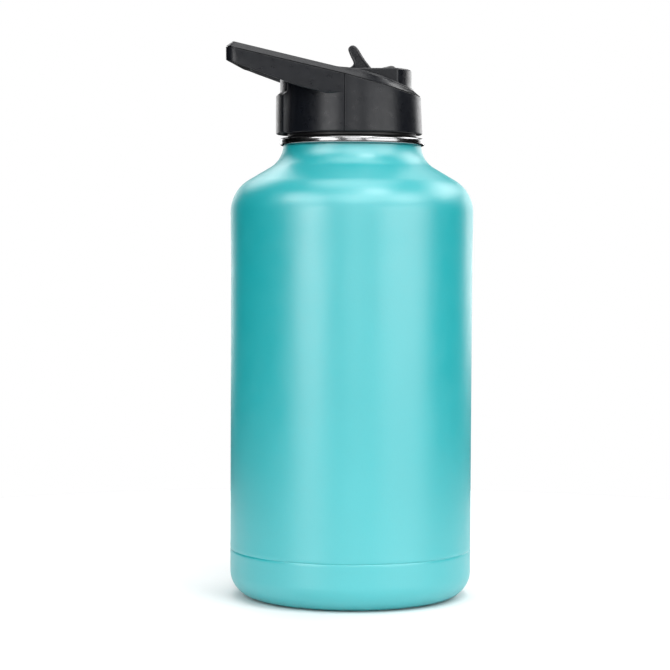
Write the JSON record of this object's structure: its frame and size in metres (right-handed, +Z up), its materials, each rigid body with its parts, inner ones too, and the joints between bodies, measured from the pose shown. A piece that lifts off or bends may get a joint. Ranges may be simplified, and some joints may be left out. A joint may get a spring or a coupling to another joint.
{
  "type": "insulated water bottle",
  "caption": "Double-walled insulated water bottle with a wide mouth, a screw lid with a loop handle, and a flip straw spout.",
  "frame": {"origin": "centre of the base on the surface the bottle stands on", "axes": "+Z up along the bottle, -X towards the loop handle, +X towards the folded spout, -Y the near side"},
  "size_m": [0.1225, 0.1224, 0.2778],
  "materials": {
    "powder_coat": "fine-grained powder coat, satin",
    "stainless": "polished lip, satin inside",
    "stainless_dull": "plain",
    "black_plastic": "fine moulded texture",
    "spout_plastic": "satin",
    "mouthpiece_silicone": "satin silicone",
    "silicone_black": "matt silicone",
    "straw_plastic": "translucent",
    "foam": "closed-cell foam"
  },
  "bodies": {
    "bottle": {"outer_shell": "powder_coat", "base_cup": "powder_coat", "inner_flask": "stainless", "getter": "stainless_dull", "vacuum_seal": "stainless_dull"},
    "gasket": {"mouth_gasket": "silicone_black"},
    "lid": {"lid_shell": "black_plastic", "handle_cover": "black_plastic", "lid_core": "black_plastic", "plug_foam": "foam", "plug_cup": "black_plastic", "pivot_pins": "stainless_dull", "spout_seal": "silicone_black", "straw_grommet": "silicone_black", "straw": "straw_plastic", "vent_valve": "silicone_black"},
    "flip_spout": {"spout": "spout_plastic", "mouthpiece": "mouthpiece_silicone"}
  },
  "joints": [
    {"name": "lid_rise", "type": "slide", "parent": "bottle", "child": "gasket", "axis": [0, 0, 1], "range_m": [0, 0.00601]},
    {"name": "lid_twist", "type": "hinge", "parent": "gasket", "child": "lid", "pos_m": [0, 0, 0.2356], "axis": [0, 0, 1], "range_deg": [0, 540]},
    {"name": "spout_flip", "type": "hinge", "parent": "lid", "child": "flip_spout", "pos_m": [-0.003, 0, 0.2563], "axis": [0, -1, 0], "range_deg": [0, 75]}
  ],
  "couplings": [
    {"joint": "lid_rise", "follows": "lid_twist", "m_per_rad": 0.00063662}
  ]
}
